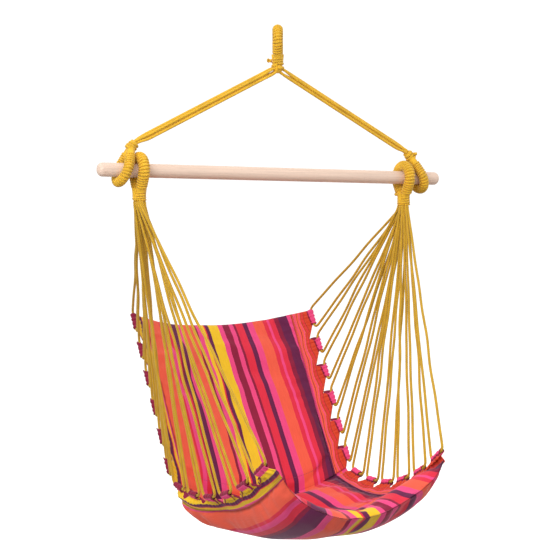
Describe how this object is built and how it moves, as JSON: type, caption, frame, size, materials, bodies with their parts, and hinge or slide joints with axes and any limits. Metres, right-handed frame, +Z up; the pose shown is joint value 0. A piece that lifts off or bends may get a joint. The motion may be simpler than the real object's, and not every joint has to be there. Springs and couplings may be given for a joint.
{
  "type": "hammock chair",
  "caption": "Padded striped sling chair hung by two fans of cords from a wooden spreader bar and one whipped hanging eye.",
  "frame": {"origin": "where a hook bears, inside the top of the hanging eye", "axes": "+Z up, +X along the spreader bar to the sitter's left, -Y the way the sitter faces"},
  "size_m": [0.85, 0.7003, 1.1109],
  "materials": {
    "bar": "sanded, unvarnished",
    "cord": "plied cotton cord",
    "cover": "striped woven cotton",
    "margin": "striped woven cotton, gathered",
    "wadding": "soft fibre fill"
  },
  "bodies": {
    "eye": {"eye_core": "cord", "eye_whipping": "cord", "eye_neck_whipping": "cord", "eye_tail_knot": "cord"},
    "throat": {"throat_seizing": "cord"},
    "upper_ropes": {"ring_core_left": "cord", "ring_whipping_left": "cord", "ring_lashing_left": "cord", "ring_core_right": "cord", "ring_whipping_right": "cord", "ring_lashing_right": "cord", "upper_strand_left_1": "cord", "upper_strand_left_2": "cord", "upper_strand_left_3": "cord", "upper_strand_left_4": "cord", "upper_strand_right_1": "cord", "upper_strand_right_2": "cord", "upper_strand_right_3": "cord", "upper_strand_right_4": "cord"},
    "bar": {"spreader_bar": "bar"},
    "seat": {"loop_core_left": "cord", "loop_whipping_left": "cord", "loop_lashing_left": "cord", "loop_core_right": "cord", "loop_whipping_right": "cord", "loop_lashing_right": "cord", "fan_cord_left_01": "cord", "fan_cord_left_02": "cord", "fan_cord_left_03": "cord", "fan_cord_left_04": "cord", "fan_cord_left_05": "cord", "fan_cord_left_06": "cord", "fan_cord_left_07": "cord", "fan_cord_left_08": "cord", "fan_cord_left_09": "cord", "fan_cord_left_10": "cord", "fan_cord_left_11": "cord", "fan_cord_left_12": "cord", "fan_cord_right_01": "cord", "fan_cord_right_02": "cord", "fan_cord_right_03": "cord", "fan_cord_right_04": "cord", "fan_cord_right_05": "cord", "fan_cord_right_06": "cord", "fan_cord_right_07": "cord", "fan_cord_right_08": "cord", "fan_cord_right_09": "cord", "fan_cord_right_10": "cord", "fan_cord_right_11": "cord", "fan_cord_right_12": "cord", "seat_wadding": "wadding", "seat_cover_top": "cover", "seat_cover_bottom": "cover", "seat_margin_left": "margin", "seat_margin_right": "margin"},
    "backrest": {"back_wadding": "wadding", "back_cover_front": "cover", "back_cover_rear": "cover", "back_margin_left": "margin", "back_margin_right": "margin"}
  },
  "joints": [
    {"name": "swivel", "type": "hinge", "parent": "eye", "child": "throat", "pos_m": [0, 0, -0.07446], "axis": [0, 0, 1], "range_deg": [-180, 180]},
    {"name": "swing", "type": "hinge", "parent": "throat", "child": "upper_ropes", "pos_m": [0, 0, -0.07446], "axis": [1, 0, 0], "range_deg": [-25, 25]},
    {"name": "bar_roll", "type": "hinge", "parent": "upper_ropes", "child": "bar", "pos_m": [0, 0, -0.31], "axis": [1, 0, 0], "continuous": true},
    {"name": "seat_tilt", "type": "hinge", "parent": "upper_ropes", "child": "seat", "pos_m": [0, 0, -0.31], "axis": [1, 0, 0], "range_deg": [-20, 20]},
    {"name": "back_fold", "type": "hinge", "parent": "seat", "child": "backrest", "pos_m": [0, 0.068, -0.986], "axis": [1, 0, 0], "range_deg": [0, 45], "deforming": ["fan_cord_left_01", "fan_cord_left_02", "fan_cord_left_03", "fan_cord_left_04", "fan_cord_left_05", "fan_cord_left_06", "fan_cord_left_07", "fan_cord_right_01", "fan_cord_right_02", "fan_cord_right_03", "fan_cord_right_04", "fan_cord_right_05", "fan_cord_right_06", "fan_cord_right_07"]}
  ]
}
